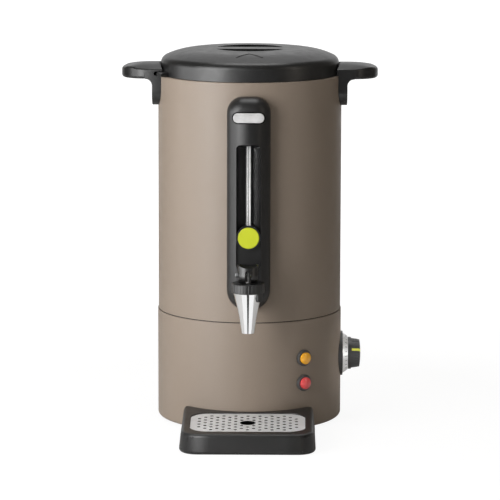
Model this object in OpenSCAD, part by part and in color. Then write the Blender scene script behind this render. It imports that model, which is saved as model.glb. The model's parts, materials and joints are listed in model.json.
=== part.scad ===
// Hot water urn with a lever tap, sight gauge, bayonet lid and drip tray.
// Frame: millimetres, origin on the tank's axis at table height, +Z up, tap towards -Y.

/* [Tank] */
// Outer radius of the tank
tank_r = 110; // [106:0.5:114]
// Thickness of the tank's sheet
tank_wall = 1.2; // [0.8:0.1:1.6]
// Height of the tank from the seam to its rim
tank_h = 283.4; // [275:1:300]
// Width of the flat ledge at the rim
rim_w = 6; // [5:0.5:7]
// Radius of the rim's outer edge
rim_round = 1.1; // [0.5:0.1:1.1]
// How far the tank steps in to plug into the base housing
neck_step = 4; // [3:0.5:5]
// How far the tank's floor lies below the seam
floor_drop = 7; // [5:0.5:9]

/* [Base] */
// Height that the foot ring stands proud of the housing
foot_h = 3; // [2:0.5:5]
// How far the foot ring's outer face stands in from the housing's
foot_inset = 22.9; // [18.9:0.1:30.9]
// Width of the foot ring's tread
foot_w = 8; // [6:0.5:9]
// Height of the base housing
base_h = 130.8; // [126:1:140]
// Thickness of the base housing's sheet
base_wall = 1; // [0.8:0.1:1.4]
// How far the base housing stands outside the tank
base_over = 0.9; // [0.5:0.1:1.5]
// Radius of the housing's lower edge
base_round = 4; // [3:0.5:6]
// Width of the flange turned in at the housing's lower edge
base_flange_w = 9; // [7:0.5:12]
// Height of the gasket in the seam
seam_h = 1; // [0.6:0.1:2]
// Thickness of the base plate
plate_t = 2.5; // [2:0.25:3]
// Number of vent slots in the base plate
vent_count = 12; // [6:1:14]
// How far the tie rods stand in from the foot ring's inner face
rod_inset = 12; // [9:0.5:14]
// Diameter of the tie rods
rod_d = 5; // [4:0.5:6]

/* [Lid] */
// Height of the lid's upright wall
lid_wall_h = 13; // [11:0.5:15]
// How far the lid's wall stands in from the tank's outside
lid_inset = 3.3; // [2.5:0.1:3.5]
// Thickness of the lid's shell
lid_t = 2.5; // [2:0.25:3]
// Radius of the lid's tight edge
lid_edge_r = 10; // [8:0.5:12]
// Turn of the tight edge before the flatter shoulder takes over
lid_edge_turn = 65; // [60:1:70]
// Radius of the lid's flatter shoulder
lid_shoulder_r = 80; // [70:1:90]
// Radius of the round grip recess
grip_r = 42; // [38:1:46]
// Width of the grip bar
grip_bar_w = 26; // [22:1:30]
// Depth of the finger wells
grip_depth = 11; // [8:0.5:14]
// Height of a bayonet lug
lug_h = 4.5; // [3.5:0.25:4.75]
// How far a bayonet lug stands out of the lid's wall
lug_reach = 9.8; // [7.3:0.1:10.3]
// Width of a bayonet lug as an angle
lug_turn = 8; // [6:0.5:9]
// Lug's place before the lid is locked, from the handle's middle
lug_open = 22; // [22:0.5:26]
// Clearance between the lid and what it sits on
lid_clear = 0.3; // [0.2:0.1:0.5]
// Depth of the liner below the rim
liner_drop = 9; // [7:0.5:12]

/* [Handles] */
// Reach of a handle's tip from the axis
handle_reach = 153.2; // [148:0.5:160]
// Width of a handle
handle_w = 63; // [56:1:66]
// Radius of the tip's corners in plan
handle_corner_r = 28; // [8:0.5:30]
// Height of the handle's underside below the rim
handle_under = 3.8; // [2:0.1:4.5]
// Height of the handle's top edge above the rim
handle_edge_h = 7.8; // [7.5:0.1:11]
// Height of the handle's crown above its top edge
handle_crown = 6.8; // [4:0.2:8]
// Length over which the crown falls to the tip
handle_fall = 38; // [16:0.5:42]
// Thickness of the leg that lies on the tank
leg_t = 6.5; // [6:0.25:8]
// How far the leg reaches below the rim
leg_drop = 36.4; // [32:0.5:45]
// Radius of the leg's lower corners
leg_corner_r = 19; // [14:1:24]
// Radius of the inside corner between plate and leg
handle_fillet_r = 8; // [6:0.5:10]

/* [Column] */
// Width of the column
column_w = 51; // [48:0.5:54]
// Height of the column's lower end above the seam
column_low = 15.2; // [14:0.2:18]
// Height of the column
column_h = 252.5; // [244:0.5:256]
// How far the column stands out from the tank
column_d = 20; // [19:0.25:22]
// Radius of the crowned sides of the column's front
column_edge_r = 16; // [12:0.5:17]
// Radius of the column's upper corners
column_top_r = 19; // [18:0.5:20]
// Width of the gauge channel
channel_w = 29; // [27:0.5:30]
// Distance of the channel's upper end below the column's top
channel_top = 54; // [50:0.5:60]
// Radius of the channel's upper corners
channel_corner_r = 7; // [5:0.5:9]
// Length of the silver badge plate
badge_w = 36.2; // [32:0.2:38]
// Height of the silver badge plate
badge_h = 11.4; // [9:0.2:13]
// Distance of the badge plate's middle below the column's top
badge_drop = 23; // [21:0.5:25]
// Depth of the recess below the lime disc
recess_d = 4; // [3:0.25:5]
// Radius of the lime disc
disc_r = 12.7; // [11.5:0.1:12.9]
// Distance of the lime disc's middle above the column's lower end
disc_rise = 88.9; // [86:0.5:92]

/* [Gauge] */
// Outer diameter of the sight tube
tube_d = 7; // [6:0.25:7.5]
// Wall of the sight tube
tube_wall = 1; // [0.8:0.1:1.2]
// Distance of the sight tube's axis from the tank
tube_out = 12; // [11.5:0.25:12.5]

/* [Tap] */
// Distance of the tap's axis from the tank
tap_out = 50; // [48:0.5:54]
// Height of the tap's shank above the seam
tap_rise = 32; // [31:0.25:33]
// Outer radius of the shank
shank_r = 8; // [7.5:0.25:8.5]
// Radius of the water way through the shank
shank_bore_r = 5; // [4:0.25:5.5]
// Height of the spout from its mouth to the bonnet
spout_h = 47.8; // [44:0.2:52]
// Outer radius of the spout at the bonnet
spout_top_r = 17.3; // [16.5:0.1:17.6]
// Outer radius of the spout at its mouth
spout_low_r = 7.6; // [7.2:0.1:8.5]
// How far the spout's outline is drawn in at half height
spout_waist = 0.9; // [0.6:0.05:1.2]
// Radius of the spout's outlet bore
outlet_r = 5.8; // [5:0.1:6]
// Outer radius of the bonnet
bonnet_r = 19; // [18.5:0.1:20]
// Height of the bonnet's collar
bonnet_h = 11.3; // [10:0.1:13]
// Number of grip flutes round the bonnet
flute_count = 30; // [20:1:36]
// Diameter of the valve stem
stem_d = 5; // [4.5:0.1:5.2]
// Diameter of the lever's pivot pin
pin_d = 3; // [2.5:0.1:3.2]
// Width of the lever at its lip
lever_w = 24.5; // [23:0.25:26]
// Width of the lever at its cheeks
cheek_w = 22; // [20:0.25:23]
// Radius of the lever's cam
cam_r = 8.3; // [7.5:0.1:9]
// How far the cam's centre lies in front of the pin
cam_off = 4.5; // [3.5:0.1:5]
// Height of the lever's lip above the pin
lever_rise = 12.6; // [11.6:0.2:15]

/* [Controls] */
// Height of the knob's axis above the base housing's lower edge
knob_rise = 74.2; // [70:0.2:80]
// Radius of the black ring behind the dial
dial_ring_r = 27; // [25.5:0.25:28]
// How far the dial ring's face stands out from the housing
dial_ring_out = 2.3; // [1.8:0.1:3]
// Radius of the silver dial at its foot
dial_r = 24.7; // [23:0.1:25.2]
// Radius of the silver dial at its face
dial_face_r = 19.9; // [19:0.1:21]
// Height of the silver dial
dial_h = 6.4; // [5:0.1:8]
// Radius of the knob's skirt
knob_skirt_r = 19.5; // [19:0.1:20.5]
// Radius of the knob's grip at its skirt
knob_r = 18; // [17:0.1:18.6]
// Radius of the knob's grip at its face
knob_face_r = 16.5; // [15.5:0.1:16.9]
// Height of the knob's grip
knob_h = 10.4; // [9:0.1:12]
// Diameter of the thermostat's shaft
shaft_d = 6; // [5.5:0.1:6.5]
// Angle of the pointer above the level line
pointer_turn = 24; // [0:1:30]
// Direction of the lamps from the front
lamp_turn = 36; // [32:1:38]
// Height of the lower lamp above the housing's lower edge
lamp_rise = 55.8; // [52:0.2:60]
// Distance between the two lamps
lamp_pitch = 30; // [26:0.5:34]
// Radius of a lamp's bezel
lamp_bezel_r = 9.85; // [9:0.1:11]
// Radius of a lamp's lens
lamp_lens_r = 7; // [6.7:0.1:7.5]

/* [Drip tray] */
// Width of the tray at the table
tray_w = 159; // [150:1:170]
// Distance of the tray's front from the base housing
tray_reach = 108.1; // [100:0.5:120]
// Height of the tray's rear rim
tray_back_h = 29; // [27:0.5:34]
// Height of the tray's front rim
tray_front_h = 24; // [22:0.5:26]
// Gap between the tray and the base housing
tray_gap = 1; // [0.5:0.1:3]
// Lean of the tray's sides from foot to top
tray_draft = 3.5; // [2:0.25:5]
// Radius of the tray's front corners at the table
tray_corner_r = 22; // [16:0.5:26]
// Width of the grate
grate_w = 134; // [124:1:138]
// Depth of the grate from front to back
grate_d = 84; // [78:1:86]
// Radius of the grate's corners
grate_corner_r = 21; // [14:0.5:25]
// Thickness of the grate's sheet
grate_t = 1.2; // [1:0.1:1.6]
// Diameter of the grate's small holes
grate_hole_d = 3.2; // [2.4:0.1:4]
// Distance between neighbouring rows of holes across the grate
grate_pitch = 7.1; // [6:0.1:8.4]
// Distance between a hole and the next one behind it in its neighbour's row, front to back
grate_row = 6.2; // [5.6:0.1:7]
// Diameter of the drain hole under the spout
drain_d = 17.5; // [14:0.5:20]

/* [Hidden] */
$fn = 96;
e = 0.01;                               // overshoot of a cut past the face that it opens
seat = 0.3;                             // clearance between parts that move on one another
run = 0.05;                             // radial clearance of a running fit

base_r = tank_r + base_over;
base_top = foot_h + base_h;
foot_r = base_r - foot_inset;
rod_r = foot_r - foot_w - rod_inset;
shoulder_z = base_top + seam_h;
rim_z = shoulder_z + tank_h;
neck_r = tank_r - neck_step;
floor_z = shoulder_z - floor_drop;
under_z = floor_z - tank_wall;          // underside of the tank's floor
inner_r = tank_r - tank_wall;
mouth_r = tank_r - rim_w;

plate_z = foot_h + base_wall;           // underside of the base plate
plate_r = base_r - base_round - 1.4;
plate_top = plate_z + plate_t;
cup_h = 3;                              // rise of the cups that hold the tie nuts
nut_h = 3.6;
vent_in = rod_r - 22;                   // the vent slots' ends
vent_out = rod_r - 13;
vent_w = 3;

lid_z = rim_z + lid_clear;
lid_r = tank_r - lid_inset;
lug_r = lid_r + lug_reach;
lid_edge_z = lid_z + lid_wall_h;
shoulder_c = [lid_r - lid_edge_r + (lid_edge_r - lid_shoulder_r) * cos(lid_edge_turn),
              lid_edge_z + (lid_edge_r - lid_shoulder_r) * sin(lid_edge_turn)];
lid_flat_z = shoulder_c[1] + lid_shoulder_r;
lid_crown = 0.8;                        // rise of the lid's middle over its shoulder
lid_top_z = lid_flat_z + lid_crown;
well_z = lid_top_z - grip_depth;        // floor of the finger wells
liner_t = 1.5;
liner_r = mouth_r - 3;
liner_z = rim_z - liner_drop;
boss_r = 4;
boss_at = 58;                           // distance of the lid's screw bosses from the axis

column_z = shoulder_z + column_low;
column_y = tank_r + column_d;           // distance of the column's front from the axis
column_top_z = column_z + column_h;
channel_top_z = column_top_z - channel_top;
channel_low_z = shoulder_z + tap_rise + 33;
tube_y = tank_r + tube_out;
disc_z = column_z + disc_rise;
disc_ring_w = 1.6;                      // width of the black ring round the lime disc
disc_out = 1.5;                         // how far the ring stands out from the column
badge_z = column_top_z - badge_drop;
badge_sink = 2.8;                       // depth of the badge plate's pocket
badge_out = 0.3;                        // how far the badge plate stands out from the column
badge_gap = 0.7;                        // groove round the badge plate
ceiling_tilt = 24;                      // slope of the channel's ceiling

tap_y = tank_r + tap_out;
tap_z = shoulder_z + tap_rise;
bonnet_z = tap_z + 13.3;                // seam between the spout and the bonnet
spout_z = bonnet_z - spout_h;
seat_z = tap_z - shank_bore_r - 1;      // valve seat inside the tap
bonnet_top = bonnet_z + bonnet_h;
stem_r = stem_d / 2;
pin_r = pin_d / 2;
pin_z = bonnet_top + seat + cam_r;
slot_w = stem_d + 2;                    // slot of the lever that straddles the stem
arch_z = 3.6;                           // middle of the slot's round upper end above the pin
dish_r = 25;                            // radius of the finger dish across the lever
dish_d = 2.2;
dish_rim = 1.2;                         // rim left behind the dish
stem_z = seat_z + seat + 2;             // underside of the stem's disc
adapter_w = 21;
adapter_h = 30;
adapter_d = 14;
spring_r = 5;                           // mean radius of the spring's coil
spring_wire = 0.6;
spring_top = bonnet_top - 3.5;
spring_low = stem_z + 1.5;

knob_z = foot_h + knob_rise;
dial_x = base_r + dial_ring_out;        // face of the black ring
dial_face_x = dial_x + dial_h;
knob_x = dial_face_x + seat;
skirt_h = 3.4;
knob_face_x = knob_x + skirt_h + knob_h;
knob_dome = 1.4;
shaft_r = shaft_d / 2;
thermostat_x = base_r - 36.9;           // inner face of the thermostat's case
thermostat_d = 30;                      // depth of the thermostat's case
thermostat_w = 34;                      // width and height of the thermostat's case
lamp_z = [foot_h + lamp_rise + lamp_pitch, foot_h + lamp_rise];
lamp_out = 3.6;                         // how far a lamp's bezel stands out
lamp_barrel_r = 6.5;

tray_y = base_r + tray_reach;           // distance of the tray's front from the axis
tray_rear_y = 87;
tray_slope = atan((tray_back_h - tray_front_h) / (tray_y - tray_draft - tray_rear_y));
grate_y = tap_y;                        // the grate's middle lies under the spout
grate_sink = 1;
tray_wall = 3;
rest_w = 3;                             // width of the ledge that carries the grate

handle_z = rim_z - handle_under;        // underside of a handle's plate
handle_top_z = rim_z + handle_edge_h + handle_crown;
slot_h = lug_h + 0.8;
handle_screw_y = 15;
handle_screw_z = rim_z - 19;

// ---- shared forms ----

// A rectangle with four round corners, its middle at the origin
module round_plate(w, h, r) {
    square([w - 2 * r, h], center = true);
    square([w, h - 2 * r], center = true);
    for (x = [-1, 1], y = [-1, 1]) translate([x * (w / 2 - r), y * (h / 2 - r)]) circle(r = r);
}

// A cylinder from the axis of a round body outwards, towards -Y after a turn
module radial(turn, z, r, from, to) {
    rotate([0, 0, turn]) translate([0, -from, z]) rotate([90, 0, 0]) cylinder(r = r, h = to - from);
}

// A tube or washer along Z
module ring(r_out, r_in, z, h) {
    translate([0, 0, z]) difference() {
        cylinder(r = r_out, h = h);
        translate([0, 0, -e]) cylinder(r = r_in, h = h + 2 * e);
    }
}

// A cheese-head screw: head below z = 0, shank upwards
module screw(d, length, head_r, head_h) {
    translate([0, 0, -head_h]) cylinder(r = head_r, h = head_h);
    cylinder(r = d / 2, h = length);
}

// A hexagon nut with its hole, across the flats
module hex_nut(across, bore, h) {
    difference() {
        cylinder(r = across / sqrt(3), h = h, $fn = 6);
        translate([0, 0, -e]) cylinder(r = bore, h = h + 2 * e);
    }
}

// Direction of a path at its point i
function heading(p, i) = let (d = p[min(i + 1, len(p) - 1)] - p[max(i - 1, 0)]) d / norm(d);

// Points of the ring round a path's point i, level with the side vector
function path_ring(p, i, r, sides, side) = let (
    d = heading(p, i),
    u = cross(d, side) / norm(cross(d, side)),
    v = cross(d, u)
) [for (k = [0 : sides - 1]) p[i] + r * (cos(360 * k / sides) * u + sin(360 * k / sides) * v)];

// A round wire of radius r along a path
module wire(path, r, side, sides = 8) {
    last = len(path) - 1;
    points = [for (i = [0 : last]) each path_ring(path, i, r, sides, side)];
    walls = [for (i = [0 : last - 1], k = [0 : sides - 1]) let (m = (k + 1) % sides)
        [i * sides + k, (i + 1) * sides + k, (i + 1) * sides + m, i * sides + m]];
    polyhedron(points, concat([[for (k = [0 : sides - 1]) k]], walls,
        [[for (k = [sides - 1 : -1 : 0]) last * sides + k]]));
}

// A path with its corners cut, its ends kept
function soften(p) = concat([p[0]],
    [for (i = [0 : len(p) - 2]) each [0.75 * p[i] + 0.25 * p[i + 1], 0.25 * p[i] + 0.75 * p[i + 1]]],
    [p[len(p) - 1]]);

// A lead that runs through a list of points with soft bends
module lead(points, r) wire(soften(soften(points)), r, lead_side);

lead_side = [0.8, -0.55, 0.2];          // a direction that no lead takes

// ---- tank and base ----

module tank_outline() {
    translate([0, under_z]) square([neck_r, shoulder_z - under_z + e]);
    translate([0, shoulder_z]) square([tank_r, tank_h - rim_round]);
    translate([0, shoulder_z]) square([tank_r - rim_round, tank_h]);
    translate([tank_r - rim_round, rim_z - rim_round]) circle(r = rim_round);
}

module tank_hollow() {
    translate([0, floor_z]) square([neck_r - tank_wall, shoulder_z - floor_z + 2 * tank_wall]);
    translate([0, shoulder_z + tank_wall]) square([inner_r, tank_h - 2 * tank_wall]);
    translate([0, rim_z - 2 * tank_wall]) square([mouth_r, 3 * tank_wall]);
}

module tank() color([0.60, 0.53, 0.47]) difference() {
    rotate_extrude() difference() {
        tank_outline();
        tank_hollow();
    }
    radial(0, tap_z, shank_r + seat, inner_r - 5, tank_r + 5);
    radial(0, column_screw_z, 2.3, inner_r - 5, tank_r + 5);
    for (side = [0, 180], y = [-1, 1]) rotate([0, 0, side])
        translate([-tank_r - 5, y * handle_screw_y, handle_screw_z]) rotate([0, 90, 0])
            cylinder(r = 2.3, h = 15);
}

module base_outline(grow) {
    r = base_r - grow;
    low = foot_h + grow;
    round = base_round - grow;
    translate([0, low]) square([r - round, base_h - 2 * grow]);
    translate([0, low + round]) square([r, base_h - 2 * grow - round]);
    translate([r - round, low + round]) circle(r = round);
}

module base_housing() color([0.60, 0.53, 0.47]) difference() {
    rotate_extrude() difference() {
        base_outline(0);
        base_outline(base_wall);
        square([base_r - base_round - base_flange_w, base_h / 2]);
        translate([0, base_h / 2]) square([neck_r + run, base_h]);
    }
    translate([0, 0, knob_z]) rotate([0, 90, 0]) cylinder(r = 6.4, h = base_r + 5);
    for (y = [-1, 1]) translate([base_r - 15, y * dial_screw_y, knob_z]) rotate([0, 90, 0])
        cylinder(r = 1.8, h = 30);
    for (z = lamp_z) radial(lamp_turn, z, lamp_barrel_r + seat, base_r - 10, base_r + 5);
    radial(180, gland_z, gland_r + run, base_r - 10, base_r + 5);
}

module seam_gasket() color([0.12, 0.12, 0.12])
    ring(tank_r - 0.9, neck_r + run, base_top, seam_h);

module foot_ring() color([0.1, 0.1, 0.1])
    ring(foot_r, foot_r - foot_w, 0, plate_z + 1);

module base_plate() color([0.16, 0.16, 0.16]) difference() {
    union() {
        translate([0, 0, plate_z]) cylinder(r = plate_r, h = plate_t);
        for (a = rod_turns) rotate([0, 0, a]) translate([rod_r, 0, plate_z])
            cylinder(r = cup_r + 2, h = plate_t + cup_h);
    }
    ring(foot_r + run, foot_r - foot_w - run, 0, plate_z + 1);
    for (a = rod_turns) rotate([0, 0, a]) translate([rod_r, 0, 0]) {
        cylinder(r = cup_r, h = plate_z + cup_h + 0.5);
        cylinder(r = rod_d / 2 + 0.2, h = plate_top + cup_h + 5);
    }
    for (i = [0 : vent_count - 1]) rotate([0, 0, i * 360 / vent_count]) {
        translate([vent_in, -vent_w / 2, 0]) cube([vent_out - vent_in, vent_w, plate_top + 5]);
        for (x = [vent_in, vent_out]) translate([x, 0, 0]) cylinder(r = vent_w / 2, h = plate_top + 5);
    }
    translate([limiter_at[0], limiter_at[1], 0]) cylinder(r = limiter_bush_r + run, h = plate_top + 5);
}

rod_turns = [30, 150, 270];
cup_r = 6.5;

module tie_rods() color("silver") for (a = rod_turns) rotate([0, 0, a])
    translate([rod_r, 0, plate_z - 0.4]) cylinder(r = rod_d / 2, h = under_z - plate_z + 0.4);

module tie_nuts() color("silver") for (a = rod_turns) rotate([0, 0, a])
    translate([rod_r, 0, plate_z + cup_h + 0.5 - nut_h]) hex_nut(8, rod_d / 2 + run, nut_h);

// ---- handles ----

module handle_plan() {
    reach = handle_reach - handle_corner_r;
    translate([-reach, -handle_w / 2]) square([reach - tank_r / 2, handle_w]);
    translate([-handle_reach, handle_corner_r - handle_w / 2])
        square([handle_corner_r + 1, handle_w - 2 * handle_corner_r]);
    for (y = [-1, 1]) translate([-reach, y * (handle_w / 2 - handle_corner_r)]) circle(r = handle_corner_r);
}

// Radius of an arc from its half chord and its rise
function arc_r(half, rise) = (half * half + rise * rise) / (2 * rise);

module handle_plate() {
    crown_r = arc_r(handle_w / 2, handle_crown);
    fall_r = arc_r(handle_fall, handle_crown);
    intersection() {
        translate([0, 0, handle_z]) linear_extrude(handle_under + handle_edge_h + handle_crown) handle_plan();
        translate([-handle_reach - 5, 0, handle_top_z - crown_r]) rotate([0, 90, 0])
            cylinder(r = crown_r, h = handle_reach);
        union() {
            translate([handle_fall - handle_reach, handle_w, handle_top_z - fall_r]) rotate([90, 0, 0])
                cylinder(r = fall_r, h = 2 * handle_w);
            translate([handle_fall - handle_reach, -handle_w, handle_z - 5])
                cube([handle_reach, 2 * handle_w, 60]);
        }
    }
}

module handle_leg() {
    translate([-tank_r - leg_t, 0, 0]) rotate([90, 0, 90]) linear_extrude(leg_t + 12) {
        translate([-handle_w / 2, rim_z - leg_drop + leg_corner_r])
            square([handle_w, leg_drop - leg_corner_r + slot_h]);
        translate([leg_corner_r - handle_w / 2, rim_z - leg_drop])
            square([handle_w - 2 * leg_corner_r, leg_drop]);
        for (y = [-1, 1]) translate([y * (handle_w / 2 - leg_corner_r), rim_z - leg_drop + leg_corner_r])
            circle(r = leg_corner_r);
    }
}

module handle_fillet() {
    r = handle_fillet_r;
    difference() {
        translate([-tank_r - leg_t - r, -handle_w / 2, handle_z - r]) cube([r + 1, handle_w, r + 1]);
        translate([-tank_r - leg_t - r, handle_w, handle_z - r]) rotate([90, 0, 0])
            cylinder(r = r, h = 2 * handle_w);
    }
}

// The blind groove that the lid's lug turns into, open towards the front
module lug_groove() {
    slot_r = slot_h / 2;
    rotate([0, 0, 176]) rotate_extrude(angle = 30) {
        translate([tank_r - 10, rim_z]) square([lug_r + 2 - slot_r - tank_r + 10, slot_h]);
        translate([lug_r + 2 - slot_r, rim_z + slot_r]) circle(r = slot_r, $fn = 32);
    }
}

module handle() difference() {
    union() {
        handle_plate();
        handle_leg();
        handle_fillet();
    }
    translate([0, 0, rim_z - 60]) cylinder(r = tank_r + run, h = 60.1);
    translate([0, 0, rim_z]) cylinder(r = lid_r + 1.9, h = 60);
    lug_groove();
    for (y = [-1, 1]) translate([-tank_r - leg_t + 1.5, y * handle_screw_y, handle_screw_z])
        rotate([0, 90, 0]) cylinder(r = 2, h = 15);
}

module handle_left() color([0.13, 0.13, 0.13]) handle();

module handle_right() color([0.13, 0.13, 0.13]) rotate([0, 0, 180]) handle();

screw_seat_x = sqrt(pow(inner_r, 2) - pow(handle_screw_y + 5, 2)) - 0.6;   // inner face of the washers

module handle_screws() color("silver") for (side = [0, 180], y = [-1, 1]) rotate([0, 0, side])
    translate([-screw_seat_x, y * handle_screw_y, handle_screw_z]) rotate([0, -90, 0])
        screw(4, tank_r + leg_t - 1.5 - screw_seat_x - 0.3, 3.6, 2.6);

module handle_washers() color([0.85, 0.85, 0.85]) intersection() {
    for (side = [0, 180], y = [-1, 1]) rotate([0, 0, side])
        translate([-screw_seat_x, y * handle_screw_y, handle_screw_z]) rotate([0, -90, 0])
            ring(5, 2 + run, 0, 6);
    cylinder(r = inner_r - e, h = rim_z, $fn = 256);
}

// ---- lid ----

// What lies under one arc of the lid's outline, between two radii
module under_arc(from, to, low, centre, r) intersection() {
    translate([from, low]) square([to - from, 60]);
    translate(centre) circle(r = r, $fn = 180);
}

// The lid's outline, drawn in by the thickness t
module lid_outline(t) {
    edge_end = lid_r - lid_edge_r + (lid_edge_r - t) * cos(lid_edge_turn);
    low = lid_z - 1;
    flat_z = lid_flat_z - t;
    translate([0, low]) square([lid_r - t, lid_edge_z - low]);
    translate([0, low]) square([edge_end, lid_edge_z - low + 2]);
    under_arc(edge_end - e, lid_r, low, [lid_r - lid_edge_r, lid_edge_z], lid_edge_r - t);
    under_arc(shoulder_c[0], edge_end, low, shoulder_c, lid_shoulder_r - t);
    polygon([[0, low], [shoulder_c[0] + e, low], [shoulder_c[0] + e, flat_z],
        [grip_r, flat_z + lid_crown], [0, flat_z + lid_crown]]);
}

module grip_well(side, grow, depth) intersection() {
    translate([0, 0, lid_top_z - depth]) cylinder(r = grip_r + grow, h = 40);
    translate([-60, side > 0 ? grip_bar_w / 2 - grow : -60 - grip_bar_w / 2 + grow, lid_top_z - 60])
        cube([120, 60, 120]);
}

module chevron() {
    arm = 24;
    for (side = [-1, 1]) translate([0, -mark_y, lid_z]) rotate([0, 0, side > 0 ? -50 : -130])
        translate([0, -1, 0]) cube([arm, 2, 60]);
}

mark_y = 67;
mark_rise = 0.5;

module lid() color([0.13, 0.13, 0.13]) difference() {
    union() {
        difference() {
            rotate_extrude() difference() {
                lid_outline(0);
                translate([0, -1]) square([lid_r + 1, lid_z + 1]);
            }
            rotate_extrude() lid_outline(lid_t);
        }
        intersection() {
            rotate_extrude() lid_outline(0);
            for (side = [-1, 1]) grip_well(side, lid_t, grip_depth + lid_t);
        }
        ring(lid_r - lid_t + e, liner_r + seat, lid_z, lid_t);
        for (a = boss_turns) rotate([0, 0, a]) translate([boss_at, 0, liner_z + liner_t])
            cylinder(r = boss_r, h = lid_flat_z - liner_z - liner_t - 1);
        for (a = [180 + lug_open, lug_open]) rotate([0, 0, a - lug_turn / 2])
            rotate_extrude(angle = lug_turn) {
                translate([lid_r - lid_t, lid_z]) square([lug_r - lug_h / 2 - lid_r + lid_t, lug_h]);
                translate([lug_r - lug_h / 2, lid_z + lug_h / 2]) circle(r = lug_h / 2, $fn = 32);
            }
        intersection() {
            chevron();
            translate([0, 0, mark_rise]) rotate_extrude() difference() {
                lid_outline(0);
                lid_outline(lid_t - 1);
            }
        }
    }
    for (side = [-1, 1]) grip_well(side, 0, grip_depth);
    for (a = boss_turns) rotate([0, 0, a]) translate([boss_at, 0, liner_z]) cylinder(r = 1.6, h = 20);
    for (x = [-12, 0, 12]) translate([x, grip_r - 12, well_z - 10]) cylinder(r = 1.5, h = 20);
}

boss_turns = [45, 135, 225, 315];

module lid_liner() color([0.75, 0.75, 0.76]) difference() {
    union() {
        translate([0, 0, liner_z]) cylinder(r = mouth_r - 1.2, h = liner_t);
        translate([0, 0, liner_z]) cylinder(r = liner_r, h = lid_z + lid_t + 3 - liner_z);
    }
    translate([0, 0, liner_z + liner_t]) cylinder(r = liner_r - 1.2, h = 60);
    for (a = boss_turns) rotate([0, 0, a]) translate([boss_at, 0, liner_z - 1]) cylinder(r = 1.8, h = 10);
    for (x = [-9, 9]) translate([x, -30, liner_z - 1]) cylinder(r = 3, h = 10);
}

module lid_seal() color([0.85, 0.85, 0.83])
    ring(mouth_r - seat, liner_r + seat, liner_z + liner_t + seat, rim_z - liner_z - liner_t - seat);

module lid_screws() color("silver") for (a = boss_turns) rotate([0, 0, a])
    translate([boss_at, 0, liner_z]) screw(3.2, 14, 3, 1.6);

// ---- column ----

column_screw_z = column_top_z - 9;

// Slab with a crowned front along the column's outline: lower end a half circle, upper corners round
module column_form() {
    half = column_w / 2;
    low_c = column_z + half;
    top_c = column_top_z - column_top_r;
    edge = column_edge_r;
    back = column_y - edge;
    module outline(inset) {
        translate([0, low_c]) circle(r = half - inset);
        translate([inset - half, low_c]) square([column_w - 2 * inset, top_c - low_c]);
        translate([column_top_r - half, low_c])
            square([column_w - 2 * column_top_r, column_top_z - inset - low_c]);
        for (x = [-1, 1]) translate([x * (half - column_top_r), top_c]) circle(r = column_top_r - inset);
    }
    rotate([90, 0, 0]) linear_extrude(back) outline(0);
    rotate([90, 0, 0]) linear_extrude(column_y) outline(edge);
    for (x = [-1, 1]) translate([x * (half - edge), -back, low_c]) cylinder(r = edge, h = top_c - low_c);
    translate([column_top_r - half, -back, column_top_z - edge]) rotate([0, 90, 0])
        cylinder(r = edge, h = column_w - 2 * column_top_r);
    translate([0, -back, low_c]) rotate([90, 0, 0]) rotate_extrude() round_rim(half - edge, edge);
    for (x = [-1, 1]) translate([x * (half - column_top_r), -back, top_c]) rotate([90, 0, 0])
        rotate_extrude() round_rim(column_top_r - edge, edge);
}

// Quarter of a round edge: a disc of radius r with a bead of radius b at its rim, above z = 0
module round_rim(r, b) intersection() {
    union() {
        square([r, b]);
        translate([r, 0]) circle(r = b);
    }
    square([r + b, b]);
}

module pill(w, h, from, to, z) translate([0, -from, z]) rotate([90, 0, 0])
    linear_extrude(to - from) round_plate(w, h, h / 2 - e);

// Round trough for the sight tube, from the disc up to a ceiling that slopes down inwards
module gauge_channel() difference() {
    intersection() {
        translate([0, -column_y - 1, 0]) cylinder(r = channel_w / 2, h = channel_top_z + 5);
        translate([0, 0, (disc_z - channel_corner_r + channel_top_z) / 2]) rotate([90, 0, 0])
            linear_extrude(column_y + 5)
            round_plate(channel_w + 1, channel_top_z - disc_z + channel_corner_r, channel_corner_r);
    }
    translate([-channel_w, -column_y - 1, channel_top_z]) rotate([-ceiling_tilt, 0, 0])
        cube([2 * channel_w, 40, 30]);
}

module column() color([0.14, 0.14, 0.14]) difference() {
    union() {
        difference() {
            column_form();
            gauge_channel();
            intersection() {
                translate([0, 0, (channel_low_z + disc_z) / 2]) rotate([90, 0, 0])
                    linear_extrude(column_y + 5)
                        round_plate(channel_w, disc_z - channel_low_z, channel_corner_r);
                translate([-column_w, -column_y - 5, channel_low_z - 5])
                    cube([2 * column_w, recess_d + 5, column_h]);
            }
        }
        radial(0, disc_z, disc_r + disc_ring_w, tank_r, column_y + disc_out);
    }
    translate([0, 0, column_z - 5]) cylinder(r = tank_r + run, h = column_h + 10);
    pill(badge_w + 2 * badge_gap, badge_h + 2 * badge_gap, column_y - badge_sink, column_y + 1, badge_z);
    radial(0, disc_z, disc_r + run, column_y + disc_out - 2, column_y + disc_out + 5);
    translate([0, -tube_y, tap_z]) cylinder(r = tube_d / 2 + 0.5, h = channel_top_z - tap_z + 10);
    translate([-adapter_w / 2 - 0.5, 1.5 - column_y + 1, tap_z - adapter_h / 2 + 4.5])
        cube([adapter_w + 1, column_d, adapter_h + 1.5]);
    radial(0, tap_z, shank_r + seat, tank_r - 5, column_y + 5);
    radial(0, column_screw_z, 1.6, tank_r - 5, column_y - 6);
}

module column_screw() color("silver") {
    translate([0, -inner_r + 1.2, column_screw_z]) rotate([90, 0, 0]) screw(3.2, 12, 3.6, 2.4);
    intersection() {
        translate([0, -inner_r + 1.2, column_screw_z]) rotate([90, 0, 0]) ring(4.6, 1.6, 0, 3);
        cylinder(r = inner_r - e, h = rim_z, $fn = 256);
    }
}

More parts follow.
